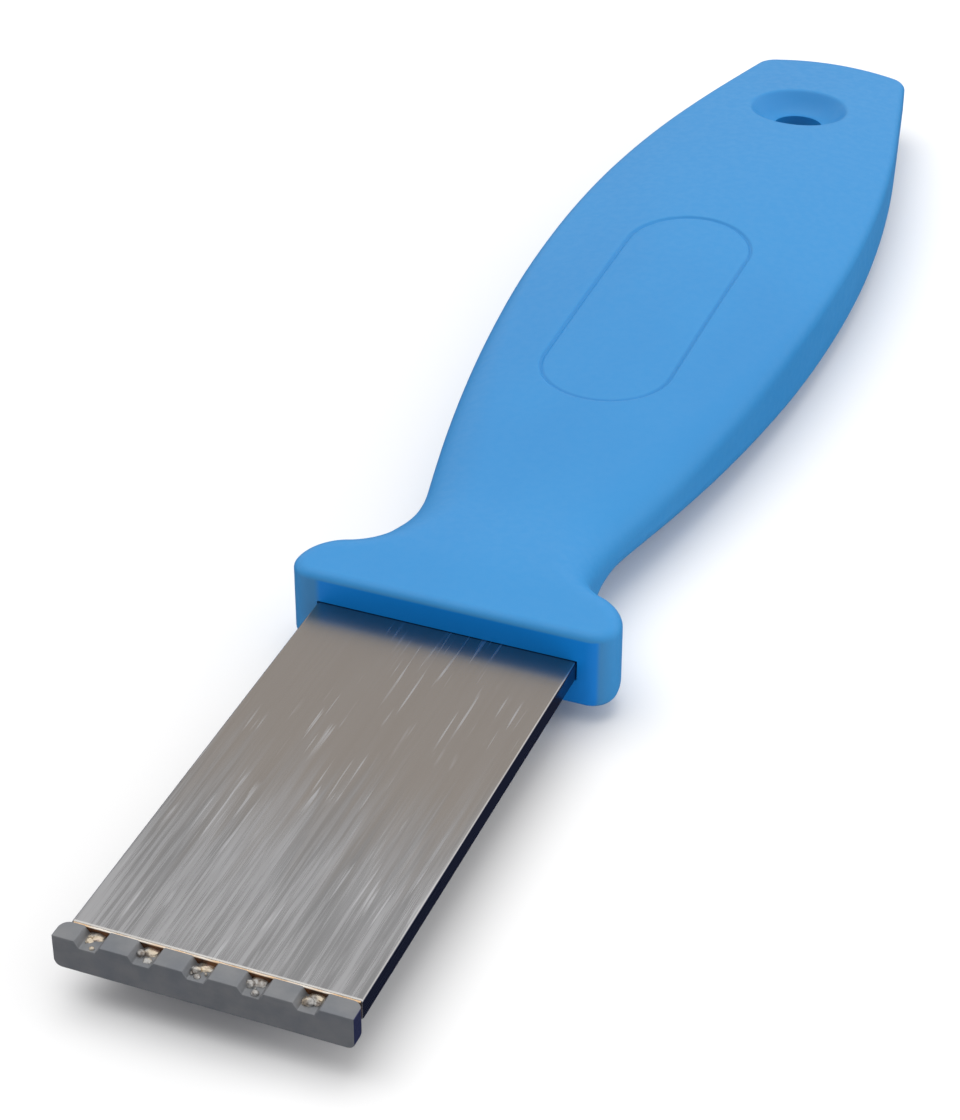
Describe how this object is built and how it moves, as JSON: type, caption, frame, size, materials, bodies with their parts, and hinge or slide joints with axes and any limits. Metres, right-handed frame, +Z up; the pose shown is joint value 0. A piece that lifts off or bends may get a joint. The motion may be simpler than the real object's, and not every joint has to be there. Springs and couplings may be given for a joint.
{
  "type": "uncapping and frame scraping tool",
  "caption": "Hand scraper for beehive frames: flat steel blade with a notched bar brazed across its tip, in a moulded plastic handle with guard and hanging hole.",
  "frame": {"origin": "middle of the underside of the tool's box, with the tool lying flat", "axes": "+Z up, out of the tool's broad upper face; Y along the tool, -Y towards the notched tip and +Y towards the hanging hole; X across the blade"},
  "size_m": [0.0416, 0.2236, 0.0146],
  "materials": {
    "handle_plastic": "satin moulded polypropylene",
    "blade_steel": "brushed along its length",
    "bar_steel": "dark ground tool steel",
    "braze": "dull as-brazed filler"
  },
  "bodies": {
    "root": {"handle": "handle_plastic", "blade": "blade_steel", "notched_bar": "bar_steel", "braze_seam": "braze", "braze_beads": "braze"}
  },
  "joints": []
}
